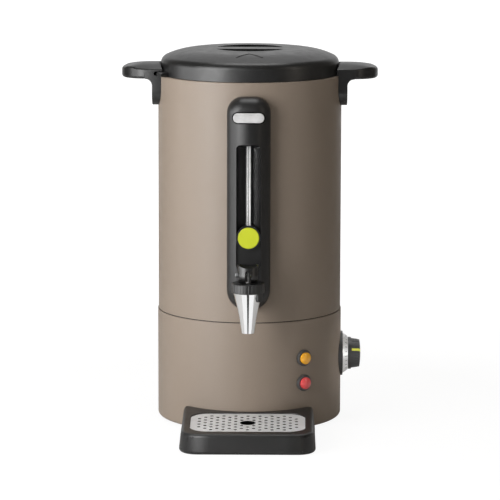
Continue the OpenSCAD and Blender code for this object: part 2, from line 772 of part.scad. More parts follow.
module badge_plate() color([0.86, 0.86, 0.87])
    pill(badge_w, badge_h, column_y - badge_sink, column_y + badge_out, badge_z);

module lime_disc() color([0.78, 0.86, 0.13])
    radial(0, disc_z, disc_r, column_y + disc_out - 2, column_y + disc_out - 0.2);

// ---- gauge ----

tube_low_z = tap_z + shank_r + 3.5;
tube_top_z = channel_top_z + 4;

module gauge_tube() color([0.93, 0.95, 0.96, 0.6])
    translate([0, -tube_y, 0]) ring(tube_d / 2, tube_d / 2 - tube_wall, tube_low_z, tube_top_z - tube_low_z);

module gauge_cap() color([0.2, 0.2, 0.2]) translate([0, -tube_y, tube_top_z]) {
    cylinder(r = tube_d / 2 + 0.4, h = 4);
    translate([0, 0, -3]) ring(tube_d / 2 - tube_wall - run, 1, 0, 3 + e);
}

module gauge_seal() color([0.82, 0.82, 0.8]) translate([0, -tube_y, 0])
    ring(tube_d / 2 + 1.8, tube_d / 2 + run, tube_low_z + 1, 3);

module tap_adapter() color([0.7, 0.71, 0.72]) difference() {
    translate([-adapter_w / 2, -tank_r - adapter_d - 2.2, tap_z - adapter_h / 2 + 5.5])
        cube([adapter_w, adapter_d, adapter_h - 0.5]);
    radial(0, tap_z, shank_r + run, tank_r - 5, column_y + 5);
    translate([0, -tube_y, tap_z]) cylinder(r = tube_d / 2 - tube_wall, h = 60);
    translate([0, -tube_y, tube_low_z - run]) cylinder(r = tube_d / 2 + run, h = 60);
    translate([0, -tube_y, tube_low_z + 1 - run]) cylinder(r = tube_d / 2 + 1.8 + run, h = 60);
}

// ---- tap ----

module spout_outline() {
    chord = [spout_top_r - spout_low_r, spout_h];
    half = norm(chord) / 2;
    waist_r = arc_r(half, spout_waist);
    out = [chord[1], -chord[0]] / norm(chord);
    middle = [(spout_top_r + spout_low_r) / 2, spout_z + spout_h / 2];
    difference() {
        translate([0, spout_z]) polygon([[0, 0], [spout_low_r, 0], [spout_top_r, spout_h], [0, spout_h]]);
        translate(middle + out * (waist_r - spout_waist)) circle(r = waist_r, $fn = 360);
    }
}

module tap_body() color([0.82, 0.82, 0.84]) difference() {
    union() {
        translate([0, -tap_y, 0]) rotate_extrude() spout_outline();
        radial(0, tap_z, shank_r, inner_r - 12.5, tap_y);
        radial(0, tap_z, shank_r + 3.5, column_y + 0.1, column_y + 3);
    }
    translate([0, -tap_y, spout_z - 1]) cylinder(r = outlet_r, h = seat_z - spout_z + 1 + e);
    translate([0, -tap_y, seat_z]) cylinder(r = bonnet_spigot_r + run, h = 60);
    radial(0, tap_z, shank_bore_r, inner_r - 20, tap_y - 5);
    translate([0, -tube_y, tap_z]) cylinder(r = 2, h = 20);
    translate([0, -tap_y, 0]) lock_tab(seat, spout_top_r + 5);
}

bonnet_spigot_r = 12.2;
tab_w = 7.4;                            // width of the bonnet's locking tab
tab_drop = 10;
tab_turn = 51;                          // direction of the locking tab from the front

// Tongue that keys the bonnet to a notch in the spout's rim, out to the radius reach
module lock_tab(grow, reach) rotate([0, 0, tab_turn]) translate([0, -bonnet_spigot_r - 2 + grow, bonnet_z])
    rotate([90, 0, 0]) linear_extrude(reach - bonnet_spigot_r - 2 + grow) {
        translate([0, tab_w / 2 - tab_drop]) circle(r = tab_w / 2 + grow);
        translate([-tab_w / 2 - grow, tab_w / 2 - tab_drop]) square([tab_w + 2 * grow, tab_drop]);
    }

module tap_bonnet() color([0.12, 0.12, 0.12]) translate([0, -tap_y, 0]) difference() {
    union() {
        translate([0, 0, bonnet_z + seat / 3]) cylinder(r = bonnet_r, h = bonnet_h - seat / 3 - 1);
        translate([0, 0, bonnet_top - 1]) cylinder(r1 = bonnet_r, r2 = bonnet_r - 1, h = 1);
        translate([0, 0, bonnet_z - 5]) cylinder(r = bonnet_spigot_r, h = 10);
        intersection() {
            lock_tab(0, spout_top_r + 1);
            translate([0, 0, bonnet_z - tab_drop - 1]) cylinder(r = spout_top_r + 0.4, h = 30);
        }
    }
    translate([0, 0, bonnet_z - 6]) cylinder(r = spring_r + 3, h = spring_top - bonnet_z + 6);
    cylinder(r = stem_r + run, h = 400);
    for (i = [0 : flute_count - 1]) rotate([0, 0, (i + 0.5) * 360 / flute_count])
        translate([bonnet_r + 0.5, 0, bonnet_z - 1]) cylinder(r = 1, h = bonnet_h + 2, $fn = 24);
}

module tap_stem() color([0.8, 0.8, 0.82]) translate([0, -tap_y, 0]) difference() {
    union() {
        translate([0, 0, stem_z]) cylinder(r = stem_r, h = pin_z + pin_r + 2 - stem_z);
        translate([0, 0, stem_z]) cylinder(r = spring_r + 1.5, h = 1.5);
    }
    translate([-10, 0, pin_z]) rotate([0, 90, 0]) cylinder(r = pin_r + 0.02, h = 20);
}

module seat_cup() color([0.85, 0.83, 0.8]) translate([0, -tap_y, seat_z + seat])
    cylinder(r = outlet_r + 1.4, h = stem_z - seat_z - seat);

module tap_pin() color("silver") translate([-cheek_w / 2 - 3.8, -tap_y, pin_z]) rotate([0, 90, 0]) {
    cylinder(r = pin_r, h = cheek_w + 3.8);
    cylinder(r = pin_r + 0.8, h = 3.4);
}

// Side view of the lever about its pin: an upright block on the round cam
module lever_side() {
    translate([cam_off, 0]) circle(r = cam_r);
    polygon([[cam_off - cam_r + 0.2, 0], [cam_off + cam_r - 0.1, 0], [lever_front, lever_rise],
        [-lever_back, lever_rise - 0.4], [-lever_back - 0.8, lever_rise - 1.6], [-lever_back + 0.6, 5]]);
}

lever_front = cam_off + cam_r - 1.8;    // reach of the lip in front of the pin
lever_back = 5;                         // reach of the lever behind the pin

module tap_lever() color([0.12, 0.12, 0.12]) translate([0, -tap_y, pin_z]) difference() {
    intersection() {
        translate([lever_w / 2, 0, 0]) rotate([90, 0, -90]) linear_extrude(lever_w) lever_side();
        translate([0, 40, 0]) rotate([90, 0, 0]) linear_extrude(80) polygon([
            [-cheek_w / 2, -cam_r - 1], [cheek_w / 2, -cam_r - 1], [cheek_w / 2, 3],
            [lever_w / 2, lever_rise - 2.4], [lever_w / 2, lever_rise + 1],
            [-lever_w / 2, lever_rise + 1], [-lever_w / 2, lever_rise - 2.4], [-cheek_w / 2, 3]]);
    }
    translate([-slot_w / 2, -30, -cam_r - 1]) cube([slot_w, 60, cam_r + 1 + arch_z]);
    translate([0, 30, arch_z]) rotate([90, 0, 0]) cylinder(r = slot_w / 2, h = 60);
    translate([-20, 0, 0]) rotate([0, 90, 0]) cylinder(r = pin_r + run, h = 40);
    translate([0, lever_back - dish_rim, lever_rise - dish_d + dish_r]) rotate([93, 0, 0])
        cylinder(r = dish_r, h = 40, $fn = 256);
}

module tap_spring() color("silver") {
    turns = 6;
    steps = turns * 14;
    rise = spring_top - spring_low - 2 * spring_wire - 0.2;
    helix = [for (i = [0 : steps]) let (t = 360 * turns * i / steps)
        [spring_r * cos(t), spring_r * sin(t), rise * i / steps]];
    translate([0, -tap_y, spring_low + spring_wire + 0.1]) wire(helix, spring_wire, [0, 0, 1]);
}

module shank_gaskets() color([0.8, 0.8, 0.78]) {
    difference() {
        radial(0, tap_z, shank_r + 2, tank_r - 3, tank_r + 2.2);
        radial(0, tap_z, shank_r + run, tank_r - 5, tank_r + 5);
        cylinder(r = tank_r, h = rim_z);
    }
    intersection() {
        difference() {
            radial(0, tap_z, shank_r + 3, inner_r - 2.5, inner_r + 2);
            radial(0, tap_z, shank_r + run, inner_r - 5, inner_r + 5);
        }
        cylinder(r = inner_r, h = rim_z);
    }
}

module shank_nut() color("silver") translate([0, 2.5 - inner_r, tap_z]) rotate([-90, 0, 0])
    hex_nut(22, shank_r + run, 6);

// ---- thermostat, dial and knob ----

dial_screw_y = 14;

// Turns a shape drawn about +Z so that it stands on the housing's side, about +X
module side_axis(x) translate([x, 0, knob_z]) rotate([0, 90, 0]) children();

module dial_ring() color([0.12, 0.12, 0.12]) difference() {
    side_axis(0) cylinder(r = dial_ring_r, h = dial_x);
    cylinder(r = base_r + run, h = base_top, $fn = 256);
    side_axis(0) cylinder(r = 6.5, h = dial_x + 5);
    for (y = [-1, 1]) translate([0, y * dial_screw_y, 0]) side_axis(0) cylinder(r = 1.8, h = dial_x + 5);
}

module dial() color([0.78, 0.78, 0.79]) side_axis(dial_x) difference() {
    cylinder(r1 = dial_r, r2 = dial_face_r, h = dial_h);
    translate([0, 0, -e]) cylinder(r = 17, h = dial_h - 1.5);
    cylinder(r = 7, h = dial_h + 5);
}

module thermostat() color([0.85, 0.85, 0.82]) difference() {
    union() {
        translate([thermostat_x, -thermostat_w / 2, knob_z - thermostat_w / 2])
            cube([thermostat_d, thermostat_w, thermostat_w]);
        side_axis(thermostat_x + thermostat_d - 1)
            cylinder(r = 6, h = dial_x + 2 - thermostat_x - thermostat_d);
        for (y = [-1, 1]) translate([0, y * dial_screw_y, 0]) side_axis(thermostat_x + thermostat_d - 1)
            cylinder(r = 3, h = post_x - thermostat_x - thermostat_d + 1);
        for (y = [-1, 1]) translate([thermostat_x - 6, y * 8 - 2, knob_z - 0.5]) cube([7, 4, 1]);
    }
    side_axis(thermostat_x + 6) cylinder(r = shaft_r + run, h = 60);
    for (y = [-1, 1]) translate([0, y * dial_screw_y, 0]) side_axis(thermostat_x + 15)
        cylinder(r = 1.5, h = 40);
}

post_x = sqrt(pow(base_r - base_wall, 2) - pow(dial_screw_y + 3, 2)) - 0.1;

module thermostat_shaft() color("silver") side_axis(thermostat_x + 6.3) difference() {
    cylinder(r = shaft_r, h = knob_x + 8 - thermostat_x - 6.3);
    translate([shaft_r - 1, -5, knob_x + 0.5 - thermostat_x - 6.3]) cube([5, 10, 20]);
}

module thermostat_probe() color([0.72, 0.45, 0.25]) {
    z = under_z - element_plate_t - 3;
    translate([15, 25, z]) rotate([90, 0, 0]) cylinder(r = 3, h = 50);
    lead([[15, 24.5, z], [15, 32, z], [15, 36, z - 10], [thermostat_x + 10, 10, knob_z + 24],
        [thermostat_x + 10, 10, knob_z + 17]], 0.9);
}

module knob_form(grow) {
    cylinder(r = knob_skirt_r + grow, h = skirt_h);
    translate([0, 0, skirt_h]) cylinder(r1 = knob_r + grow, r2 = knob_face_r + grow, h = knob_h);
    dome_r = arc_r(knob_face_r, knob_dome);
    translate([0, 0, skirt_h + knob_h]) intersection() {
        cylinder(r = knob_face_r + grow, h = knob_dome + grow);
        translate([0, 0, knob_dome + grow - dome_r]) sphere(r = dome_r, $fn = 128);
    }
}

module pointer_cut(grow) rotate([0, 0, -90 - pointer_turn])
    translate([knob_face_r - 5 - grow, -1.5 - grow, skirt_h + 1 - grow]) cube([20, 3 + 2 * grow, 40]);

module knob() color([0.12, 0.12, 0.12]) side_axis(knob_x) difference() {
    knob_form(0);
    pointer_cut(0);
    difference() {
        translate([0, 0, -e]) cylinder(r = shaft_r + 0.02, h = 8.1);
        translate([shaft_r - 1 + 0.02, -5, 0.6]) cube([5, 10, 20]);
    }
}

module knob_pointer() color([0.78, 0.86, 0.13]) side_axis(knob_x) intersection() {
    knob_form(0.2);
    pointer_cut(-0.02);
}

// ---- lamps ----

module lamp(z) rotate([0, 0, lamp_turn]) translate([0, -base_r, z]) rotate([90, 0, 0]) difference() {
    union() {
        cylinder(r = lamp_bezel_r, h = lamp_out - 1);
        translate([0, 0, lamp_out - 1]) cylinder(r1 = lamp_bezel_r, r2 = lamp_bezel_r - 1, h = 1);
        translate([0, 0, -24]) cylinder(r = lamp_barrel_r, h = 25);
    }
    translate([0, 0, lamp_out - 2]) cylinder(r = lamp_lens_r + run, h = 10);
}

module lens(z) rotate([0, 0, lamp_turn]) translate([0, -base_r - lamp_out + 2, z]) rotate([90, 0, 0]) {
    dome = 2.4;
    side_h = 4;
    dome_r = arc_r(lamp_lens_r, dome);
    cylinder(r = lamp_lens_r, h = side_h);
    translate([0, 0, side_h]) intersection() {
        cylinder(r = lamp_lens_r, h = dome);
        translate([0, 0, dome - dome_r]) sphere(r = dome_r);
    }
}

module lamp_amber() color([0.1, 0.1, 0.1]) lamp(lamp_z[0]);
module lens_amber() color([0.95, 0.6, 0.1]) lens(lamp_z[0]);
module lamp_red() color([0.1, 0.1, 0.1]) lamp(lamp_z[1]);
module lens_red() color([0.85, 0.1, 0.08]) lens(lamp_z[1]);

lamp_nut_at = sqrt(pow(base_r - base_wall, 2) - 100) - 0.2;

module lamp_nuts() color([0.2, 0.2, 0.2]) for (z = lamp_z) rotate([0, 0, lamp_turn])
    translate([0, -lamp_nut_at + 4, z]) rotate([90, 0, 0]) hex_nut(17, lamp_barrel_r + run, 4);

// ---- inside the base ----

element_plate_t = 4;
element_r = rod_r - 23;
element_wire_r = 4.2;
element_gap = 40;                       // opening of the element's ring as an angle
element_z = under_z - element_plate_t - element_wire_r;

module element_plate() color([0.7, 0.7, 0.72])
    translate([0, 0, under_z - element_plate_t]) cylinder(r = rod_r - 8, h = element_plate_t);

module heating_element() color([0.5, 0.48, 0.45]) translate([0, 0, element_z]) {
    rotate([0, 0, 90 + element_gap / 2]) rotate_extrude(angle = 360 - element_gap)
        translate([element_r, 0]) circle(r = element_wire_r, $fn = 32);
    for (side = [-1, 1]) rotate([0, 0, 90 + side * (element_gap / 2 + 4)])
        translate([element_r, 0, -14]) cylinder(r = 2.4, h = 14);
}

limiter_at = [-30, -20];
limiter_bush_r = 5;
button_r = 2.4;
button_low = plate_z - 1.4;

module limiter() color([0.9, 0.9, 0.86]) difference() {
    union() {
        translate([limiter_at[0] - 20, limiter_at[1] - 12, plate_top]) cube([40, 24, 22]);
        translate([limiter_at[0], limiter_at[1], plate_z]) cylinder(r = limiter_bush_r, h = plate_t + 1);
        for (x = [-14, 14]) translate([limiter_at[0] + x - 2, limiter_at[1] - 0.5, plate_top + 20])
            cube([4, 1, 8]);
    }
    translate([limiter_at[0], limiter_at[1], 0]) cylinder(r = button_r + 0.1, h = plate_top + 3);
    translate([limiter_at[0], limiter_at[1], plate_top + 2]) cylinder(r = 4.2, h = 7);
}

module reset_button() color([0.8, 0.1, 0.1]) translate([limiter_at[0], limiter_at[1], 0]) {
    translate([0, 0, button_low]) cylinder(r = button_r, h = plate_top + 3 - button_low);
    translate([0, 0, plate_top + 2.3]) cylinder(r = 3.8, h = 1.6);
}

block_at = [0, base_r - 38.9];
block_size = [46, 18, 16];
pole_pitch = 15;                        // distance between the terminal block's poles

module terminal_block() color([0.92, 0.92, 0.88]) difference() {
    translate([block_at[0] - block_size[0] / 2, block_at[1] - block_size[1] / 2, plate_top]) cube(block_size);
    for (x = [-pole_pitch, 0, pole_pitch], y = [-5, 5])
        translate([block_at[0] + x, block_at[1] + y, plate_top + block_size[2] - 5])
            cylinder(r = 2.2, h = 10);
}

gland_z = 30;
gland_r = 7;
gland_bore_r = 3.6;

module cord_gland() color([0.1, 0.1, 0.1]) difference() {
    union() {
        radial(180, gland_z, gland_r, base_r - 8, base_r + 5);
        radial(180, gland_z, gland_r + 2.5, base_r + 0.1, base_r + 3);
        radial(180, gland_z, gland_r + 2, base_r - 5, base_r - base_wall - 0.5);
    }
    radial(180, gland_z, gland_bore_r, base_r - 10, base_r + 10);
}

module leads() color([0.75, 0.75, 0.72]) {
    block_top = plate_top + block_size[2] + 0.1;
    pole_y = block_at[1];
    pin = [element_r * sin(element_gap / 2 + 4), element_r * cos(element_gap / 2 + 4), element_z - 14];
    tab = [thermostat_x - 6, 8, knob_z];
    lead([[-pin[0], pin[1], pin[2]], [-pin[0], pin[1], pin[2] - 12], [-pole_pitch, pole_y, 70],
        [-pole_pitch, pole_y, block_top]], 1.2);
    lead([[pin[0], pin[1], pin[2]], [pin[0], pin[1], pin[2] - 12], [tab[0] - 18, 8, knob_z], tab], 1.2);
    lead([[pole_pitch, pole_y, block_top], [pole_pitch, pole_y, 44], [tab[0] - 18, -8, 60],
        [tab[0] - 18, -8, knob_z], [tab[0], -8, knob_z]], 1.2);
    lead([[limiter_at[0] - 14, limiter_at[1], plate_top + 28], [limiter_at[0] - 14, limiter_at[1], 60],
        [-30, pole_y - 12, 50], [-20, pole_y, 36], [-20, pole_y, block_top]], 1.2);
}

// ---- drip tray ----

// A box with leaning sides, round front corners and smaller rear corners
module leaning_box(w, front, rear, r, draft, h) {
    small = draft + 1.5;
    translate([0, -rear - small, 0]) rotate([90, 0, 0]) linear_extrude(front - rear - small - r)
        polygon([[-w / 2, 0], [w / 2, 0], [w / 2 - draft, h], [draft - w / 2, h]]);
    translate([r - w / 2, 0, 0]) rotate([90, 0, 90]) linear_extrude(w - 2 * r)
        polygon([[-front, 0], [-rear, 0], [-rear - draft, h], [draft - front, h]]);
    for (x = [-1, 1]) {
        translate([x * (w / 2 - r), r - front, 0]) cylinder(r1 = r, r2 = r - draft, h = h);
        translate([x * (w / 2 - small), -rear - small, 0]) cylinder(r1 = small, r2 = small - draft, h = h);
        translate([x > 0 ? 0 : small - w / 2, 0, 0]) rotate([90, 0, 90]) linear_extrude(w / 2 - small)
            polygon([[-front + r, 0], [-rear, 0], [-rear - draft, h], [-front + r, h]]);
    }
}

// Lays a shape drawn about z = 0 on the tray's sloping top, its middle under the spout
module on_slope() translate([0, -grate_y, slope_z]) rotate([tray_slope, 0, 0]) children();

slope_z = tray_back_h - (grate_y - tray_rear_y) * tan(tray_slope);

module drip_tray() color([0.12, 0.12, 0.12]) difference() {
    leaning_box(tray_w, tray_y, tray_rear_y - 12, tray_corner_r, tray_draft, tray_back_h + 4);
    on_slope() translate([-tray_w, -150, 0]) cube([2 * tray_w, 300, 60]);
    translate([0, 0, -1]) cylinder(r = base_r + tray_gap, h = 100);
    on_slope() translate([0, 0, -grate_sink - grate_t - 0.05]) linear_extrude(40)
        round_plate(grate_w + 0.8, grate_d + 0.8, grate_corner_r + 0.4);
    intersection() {
        on_slope() translate([0, 0, -60]) linear_extrude(100)
            round_plate(grate_w - 2 * rest_w, grate_d - 2 * rest_w, grate_corner_r - rest_w);
        translate([-tray_w, -tray_y, tray_wall]) cube([2 * tray_w, tray_y, 60]);
    }
}

module drip_grate() color([0.8, 0.8, 0.8]) on_slope() translate([0, 0, -grate_sink - grate_t]) difference() {
    linear_extrude(grate_t) round_plate(grate_w, grate_d, grate_corner_r);
    translate([0, 0, -1]) cylinder(r = drain_d / 2, h = 5);
    for (i = [-8 : 8], j = [-6 : 6]) if ((i + j) % 2 != 0 && in_grate(i * grate_pitch, j * grate_row))
        translate([i * grate_pitch, j * grate_row, -1]) cylinder(r = grate_hole_d / 2, h = 5, $fn = 24);
}

// Whether a small hole at x, y keeps its margin from the drain hole and the grate's edge
function in_grate(x, y) = norm([x, y]) > drain_d / 2 + 3.5
    && abs(x) < grate_w / 2 - 7 && abs(y) < grate_d / 2 - 7
    && norm([max(abs(x) - grate_w / 2 + grate_corner_r, 0), max(abs(y) - grate_d / 2 + grate_corner_r, 0)])
        < grate_corner_r - 7;

tank();
base_housing();
seam_gasket();
base_plate();
foot_ring();
tie_rods();
tie_nuts();
handle_left();
handle_right();
handle_screws();
handle_washers();
lid();
lid_liner();
lid_seal();
lid_screws();
column();
column_screw();
badge_plate();
lime_disc();
gauge_tube();
gauge_cap();
gauge_seal();
tap_adapter();
tap_body();
tap_bonnet();
tap_lever();
tap_pin();
tap_stem();
seat_cup();
tap_spring();
shank_gaskets();
shank_nut();
dial_ring();
dial();
thermostat();
thermostat_shaft();
thermostat_probe();
knob();
knob_pointer();
lamp_amber();
lens_amber();
lamp_red();
lens_red();
lamp_nuts();
element_plate();
heating_element();
limiter();
reset_button();
terminal_block();
cord_gland();
leads();
drip_tray();
drip_grate();
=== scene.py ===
import json
import math

import bmesh
import bpy
from mathutils import Matrix, Vector


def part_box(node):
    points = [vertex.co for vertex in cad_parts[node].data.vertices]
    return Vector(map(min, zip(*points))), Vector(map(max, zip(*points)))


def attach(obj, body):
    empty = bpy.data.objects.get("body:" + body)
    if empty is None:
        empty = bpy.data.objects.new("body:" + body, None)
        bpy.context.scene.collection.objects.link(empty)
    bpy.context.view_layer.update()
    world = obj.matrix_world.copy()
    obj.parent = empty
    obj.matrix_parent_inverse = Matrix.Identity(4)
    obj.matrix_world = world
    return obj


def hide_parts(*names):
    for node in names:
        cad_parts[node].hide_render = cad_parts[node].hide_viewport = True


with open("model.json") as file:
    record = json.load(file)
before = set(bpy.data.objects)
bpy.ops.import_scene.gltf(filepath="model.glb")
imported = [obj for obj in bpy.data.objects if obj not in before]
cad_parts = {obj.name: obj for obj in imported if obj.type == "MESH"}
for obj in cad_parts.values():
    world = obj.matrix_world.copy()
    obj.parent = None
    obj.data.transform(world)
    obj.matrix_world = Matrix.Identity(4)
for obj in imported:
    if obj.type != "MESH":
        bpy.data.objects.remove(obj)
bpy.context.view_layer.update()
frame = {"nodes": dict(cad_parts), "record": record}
nodes = frame["nodes"]
bodies = frame["record"]["behaviour"]["bodies"]
slotOf = {row["node"]: row["material_slot"] for row in frame["record"]["subparts"]}
print("frame loaded:", len(nodes), "nodes")


def emptyMaterial(name):
    mat = bpy.data.materials.new(name)
    mat.use_nodes = True
    tree = mat.node_tree
    tree.nodes.clear()
    return mat, tree, tree.nodes.new("ShaderNodeOutputMaterial").inputs["Surface"]


def newMaterial(name):
    mat, tree, surface = emptyMaterial(name)
    shader = tree.nodes.new("ShaderNodeBsdfPrincipled")
    tree.links.new(shader.outputs[0], surface)
    coords = tree.nodes.new("ShaderNodeTexCoord")
    return mat, tree, shader, coords.outputs["Object"]


def axesOf(tree, vector):
    node = tree.nodes.new("ShaderNodeSeparateXYZ")
    tree.links.new(vector, node.inputs[0])
    return node.outputs


def scaled(tree, vector, scale):
    node = tree.nodes.new("ShaderNodeMapping")
    node.inputs["Scale"].default_value = scale
    tree.links.new(vector, node.inputs["Vector"])
    return node.outputs[0]


def noise(tree, vector, scale, detail=3):
    node = tree.nodes.new("ShaderNodeTexNoise")
    node.inputs["Scale"].default_value = scale
    node.inputs["Detail"].default_value = detail
    tree.links.new(vector, node.inputs["Vector"])
    return node.outputs[0]


def spread(tree, value, low, high, fromLow=0.3, fromHigh=0.7):
    node = tree.nodes.new("ShaderNodeMapRange")
    node.inputs["From Min"].default_value = fromLow
    node.inputs["From Max"].default_value = fromHigh
    node.inputs["To Min"].default_value = low
    node.inputs["To Max"].default_value = high
    tree.links.new(value, node.inputs["Value"])
    return node.outputs[0]


def calc(tree, job, first, second=None):
    node = tree.nodes.new("ShaderNodeMath")
    node.operation = job
    for socket, value in zip(node.inputs, (first, second)):
        if isinstance(value, (int, float)):
            socket.default_value = value
        elif value is not None:
            tree.links.new(value, socket)
    return node.outputs[0]


def blendColors(tree, factor, first, second):
    node = tree.nodes.new("ShaderNodeMix")
    node.data_type = "RGBA"
    node.inputs["A"].default_value = (*first, 1)
    node.inputs["B"].default_value = (*second, 1)
    tree.links.new(factor, node.inputs["Factor"])
    return node.outputs["Result"]


def bump(tree, height, strength, distance, normal=None):
    node = tree.nodes.new("ShaderNodeBump")
    node.inputs["Strength"].default_value = strength
    node.inputs["Distance"].default_value = distance
    tree.links.new(height, node.inputs["Height"])
    if normal is not None:
        tree.links.new(normal, node.inputs["Normal"])
    return node.outputs[0]


def mixShaders(tree, share, first, second, surface):
    node = tree.nodes.new("ShaderNodeMixShader")
    for socket, value in zip(node.inputs, (share, first.outputs[0], second.outputs[0])):
        tree.links.new(value, socket)
    tree.links.new(node.outputs[0], surface)


# What all mouldings share unless a look says otherwise
moulding = {"spec": 0.5, "cloud": 38, "sheen": 90, "grain": 2600, "depth": 0.000035, "strength": 0.35}
blackTones = ((0.0085, 0.0085, 0.0088), (0.0110, 0.0110, 0.0113))
tapTones = ((0.0075, 0.0075, 0.0078), (0.0095, 0.0095, 0.0098))


# Cloudy tone and patchy sheen; the fine grain comes back as a normal
def moulded(tree, shader, place, look, mask=None):
    tone = noise(tree, place, look["cloud"])
    if mask is not None:
        tone = calc(tree, "MULTIPLY", tone, mask)
    tree.links.new(blendColors(tree, tone, look["dark"], look["light"]), shader.inputs["Base Color"])
    sheen = noise(tree, place, look["sheen"])
    tree.links.new(spread(tree, sheen, *look["rough"]), shader.inputs["Roughness"])
    shader.inputs["Specular IOR Level"].default_value = look["spec"]
    grain = noise(tree, place, look["grain"], detail=1)
    return bump(tree, grain, look["strength"], look["depth"])


def plastic(name, dark, light, rough, **changes):
    look = {**moulding, "dark": dark, "light": light, "rough": rough, **changes}
    mat, tree, shader, place = newMaterial(name)
    tree.links.new(moulded(tree, shader, place, look), shader.inputs["Normal"])
    return mat


# The front edge of such a moulding is bump-shaded as if it curved back from its start outwards, below a
# height where one is given
def bowedPlastic(name, dark, light, rough, **changes):
    look = {**moulding, "dark": dark, "light": light, "rough": rough, **changes}
    mat, tree, shader, place = newMaterial(name)
    axes = axesOf(tree, place)
    past = calc(tree, "SUBTRACT", calc(tree, "ABSOLUTE", axes["X"]), look["start"])
    fall = calc(tree, "POWER", calc(tree, "MAXIMUM", past, 0), 2)
    grain = moulded(tree, shader, place, look)
    bowed = bump(tree, calc(tree, "MULTIPLY", fall, -look["bow"]), strength=1, distance=1, normal=grain)
    if "below" in look:
        lower = calc(tree, "LESS_THAN", axes["Z"], look["below"])
        tree.links.new(lower, bowed.node.inputs["Strength"])
    tree.links.new(bowed, shader.inputs["Normal"])
    return mat


# The column's front looks slightly crowned across, and a painted shadow round the plate in its seat darkens
# the gap there and takes its sheen away
def columnCoat():
    look = {**moulding, "dark": (0.0015, 0.0015, 0.0016), "light": (0.0125, 0.0125, 0.0130),
            "rough": (0.40, 0.44), "spec": 0.6, "crown": 0.0029, "wave": 132, "gapShadow": 0.0013,
            "above": 0.036, "recess": 0.0150, "fade": 0.25}
    mat, tree, shader, place = newMaterial("columnMoulding")
    axes = axesOf(tree, place)
    low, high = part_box("badge_plate")
    middle = (high[2] + low[2]) / 2
    end = (high[2] - low[2]) / 2
    aside = calc(tree, "ABSOLUTE", axes["X"])
    along = calc(tree, "MAXIMUM", calc(tree, "SUBTRACT", aside, (high[0] - low[0]) / 2 - end), 0)
    across = calc(tree, "SUBTRACT", axes["Z"], middle)
    squares = calc(tree, "ADD", calc(tree, "POWER", along, 2), calc(tree, "MULTIPLY", across, across))
    # painted shadow: a narrow band round the plate, where the tone goes to black and the sheen to nothing
    gapShadow = calc(tree, "LESS_THAN", calc(tree, "SQRT", squares), end + look["gapShadow"])
    grain = moulded(tree, shader, place, look, calc(tree, "SUBTRACT", 1, gapShadow))
    spec = spread(tree, gapShadow, look["spec"], 0, fromLow=0, fromHigh=1)
    tree.links.new(spec, shader.inputs["Specular IOR Level"])
    crown = calc(tree, "COSINE", calc(tree, "MULTIPLY", axes["X"], look["wave"]))
    crowned = bump(tree, crown, strength=1, distance=look["crown"], normal=grain)
    above = calc(tree, "GREATER_THAN", axes["Z"], middle - look["above"])
    beside = calc(tree, "GREATER_THAN", aside, look["recess"])
    fade = spread(tree, axes["Z"], 1, look["fade"], fromLow=low[2], fromHigh=high[2])
    strength = calc(tree, "MULTIPLY", calc(tree, "MAXIMUM", above, beside), fade)
    tree.links.new(strength, crowned.node.inputs["Strength"])
    tree.links.new(crowned, shader.inputs["Normal"])
    return mat


# brushed is how closely the lines follow each other along each axis
def metal(name, color, rough, brushed=None, metallic=1.0, deep=0.88, cloud=55):
    brush = {"strength": 0.25, "depth": 0.00003}
    mat, tree, shader, place = newMaterial(name)
    shader.inputs["Metallic"].default_value = metallic
    tone = noise(tree, place, cloud)
    darker = tuple(deep * c for c in color)
    tree.links.new(blendColors(tree, tone, darker, color), shader.inputs["Base Color"])
    if brushed:
        lines = noise(tree, scaled(tree, place, brushed), scale=1)
        tree.links.new(spread(tree, lines, *rough), shader.inputs["Roughness"])
        tree.links.new(bump(tree, lines, brush["strength"], brush["depth"]), shader.inputs["Normal"])
    else:
        tree.links.new(spread(tree, tone, *rough), shader.inputs["Roughness"])
    return mat


def powderCoat():
    look = {"base": (0.275, 0.222, 0.178), "shade": (0.255, 0.205, 0.163), "speck": 900, "sheen": 60,
            "rough": (0.40, 0.50), "peel": 1500, "depth": 0.00004, "strength": 0.25}
    mat, tree, shader, place = newMaterial("taupeCoat")
    specks = noise(tree, place, look["speck"], detail=2)
    tree.links.new(blendColors(tree, specks, look["shade"], look["base"]), shader.inputs["Base Color"])
    sheen = noise(tree, place, look["sheen"])
    tree.links.new(spread(tree, sheen, *look["rough"]), shader.inputs["Roughness"])
    peel = noise(tree, place, look["peel"], detail=2)
    tree.links.new(bump(tree, peel, look["strength"], look["depth"]), shader.inputs["Normal"])
    return mat


def lensMaterial(name, color, glow):
    look = {"shade": 0.9, "cloud": 300, "rough": 0.12, "glow": 0.09, "coat": 0.5}
    mat, tree, shader, place = newMaterial(name)
    darker = tuple(look["shade"] * c for c in color)
    cloud = noise(tree, place, look["cloud"], detail=2)
    tree.links.new(blendColors(tree, cloud, darker, color), shader.inputs["Base Color"])
    shader.inputs["Roughness"].default_value = look["rough"]
    shader.inputs["Emission Color"].default_value = (*glow, 1)
    shader.inputs["Emission Strength"].default_value = look["glow"]
    shader.inputs["Coat Weight"].default_value = look["coat"]
    return mat


def tubeGlass():
    look = {"dark": (0.72, 0.75, 0.76), "light": (0.80, 0.83, 0.84), "cloud": 70, "rough": 0.03,
            "spec": 1, "coat": 1, "alpha": 0.09}
    mat, tree, shader, place = newMaterial("sightGlass")
    cloud = noise(tree, place, look["cloud"], detail=2)
    tree.links.new(blendColors(tree, cloud, look["dark"], look["light"]), shader.inputs["Base Color"])
    shader.inputs["Roughness"].default_value = look["rough"]
    shader.inputs["Specular IOR Level"].default_value = look["spec"]
    shader.inputs["Coat Weight"].default_value = look["coat"]
    shader.inputs["Alpha"].default_value = look["alpha"]
    return mat


